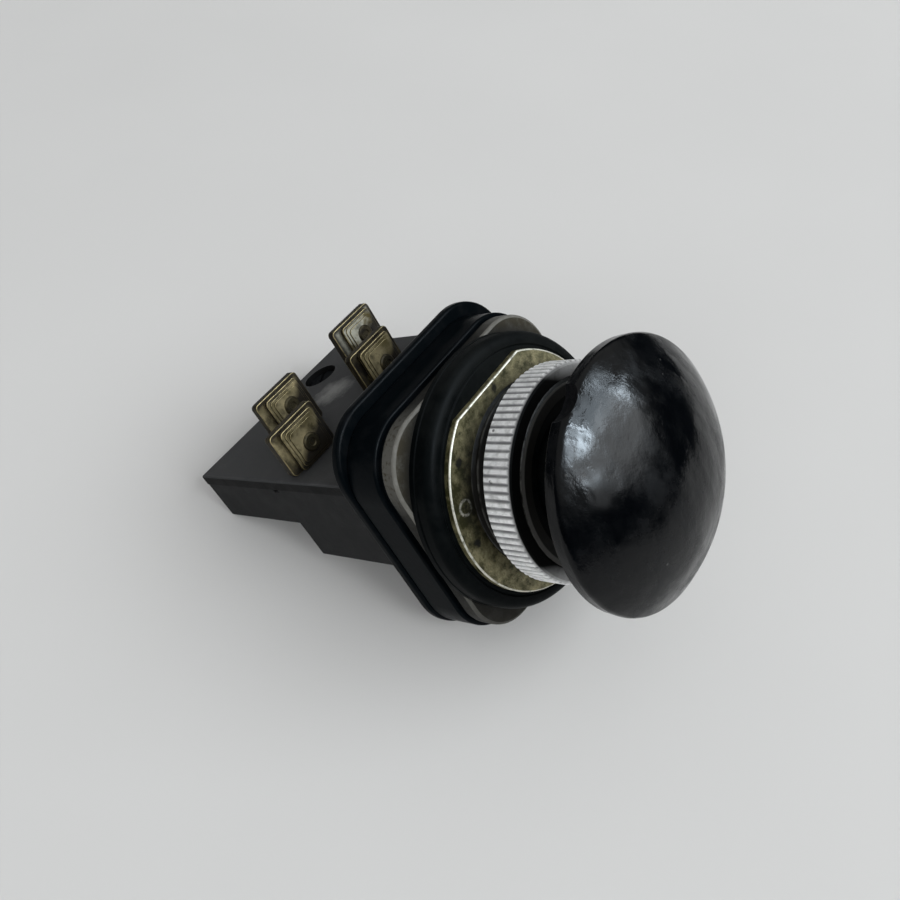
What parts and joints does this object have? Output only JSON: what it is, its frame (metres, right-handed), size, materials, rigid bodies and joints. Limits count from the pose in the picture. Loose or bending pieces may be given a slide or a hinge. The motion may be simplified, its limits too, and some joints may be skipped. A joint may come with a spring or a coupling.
{
  "type": "pushbutton switch",
  "caption": "Panel-mount mushroom-head pushbutton with square flange, serrated ring nut and a rear contact block with screw terminals.",
  "frame": {"origin": "on the push axis, at the front face of the square flange, where the panel is seated", "axes": "-Y along the push axis out of the panel towards the hand, +Z towards the wire terminals, +X to the right seen from the front"},
  "size_m": [0.0456, 0.09, 0.0475],
  "materials": {
    "cap_black": "polished black moulding with fine scratches",
    "plunger_nylon": "satin black",
    "spring_steel": "bright drawn wire and strip",
    "seal_rubber": "matt black",
    "dull_zinc": "dull, worn casting",
    "gasket_rubber": "satin black",
    "worn_zinc": "mottled yellowish plating",
    "bright_nut": "bright, serrated",
    "body_black": "satin black",
    "block_phenolic": "matt grey-black",
    "dark_screw": "blackened",
    "carrier_nylon": "matt red",
    "contact_copper": "copper strip",
    "contact_silver": "silver",
    "plated_screw": "tarnished plating",
    "terminal_bronze": "tarnished brass"
  },
  "bodies": {
    "operator": {"return_spring": "spring_steel", "shaft_seal": "seal_rubber", "threaded_bushing": "dull_zinc", "panel_gasket": "gasket_rubber", "thrust_washer": "worn_zinc", "rear_body": "body_black", "block_housing": "block_phenolic", "block_cover": "block_phenolic", "cover_screw": "dark_screw", "carrier_spring": "spring_steel", "block_screws": "plated_screw", "base_screws": "plated_screw", "nc_left_terminal": "terminal_bronze", "nc_left_clamp": "terminal_bronze", "nc_left_screw": "plated_screw", "nc_left_tip": "contact_silver", "no_left_terminal": "terminal_bronze", "no_left_clamp": "terminal_bronze", "no_left_screw": "plated_screw", "no_left_tip": "contact_silver", "nc_right_terminal": "terminal_bronze", "nc_right_clamp": "terminal_bronze", "nc_right_screw": "plated_screw", "nc_right_tip": "contact_silver", "no_right_terminal": "terminal_bronze", "no_right_clamp": "terminal_bronze", "no_right_screw": "plated_screw", "no_right_tip": "contact_silver"},
    "button": {"mushroom_cap": "cap_black", "plunger": "plunger_nylon", "retaining_clip": "spring_steel", "spring_washer": "spring_steel"},
    "nut": {"ring_nut": "bright_nut"},
    "carrier": {"contact_carrier": "carrier_nylon", "bridge_contact": "contact_copper", "bridge_tips": "contact_silver", "contact_spring": "spring_steel"}
  },
  "joints": [
    {"name": "button_press", "type": "slide", "parent": "operator", "child": "button", "axis": [0, 1, 0], "range_m": [0, 0.005], "stiffness_N_per_m": 700, "springref_m": -0.008, "deforming": ["return_spring"]},
    {"name": "carrier_slide", "type": "slide", "parent": "operator", "child": "carrier", "axis": [0, 1, 0], "range_m": [0, 0.005], "stiffness_N_per_m": 200, "springref_m": -0.006, "deforming": ["carrier_spring"]},
    {"name": "nut_turn", "type": "hinge", "parent": "operator", "child": "nut", "pos_m": [0, -0.0125, 0], "axis": [0, 1, 0], "continuous": true}
  ],
  "couplings": [
    {"joint": "carrier_slide", "follows": "button_press", "ratio": 1}
  ]
}
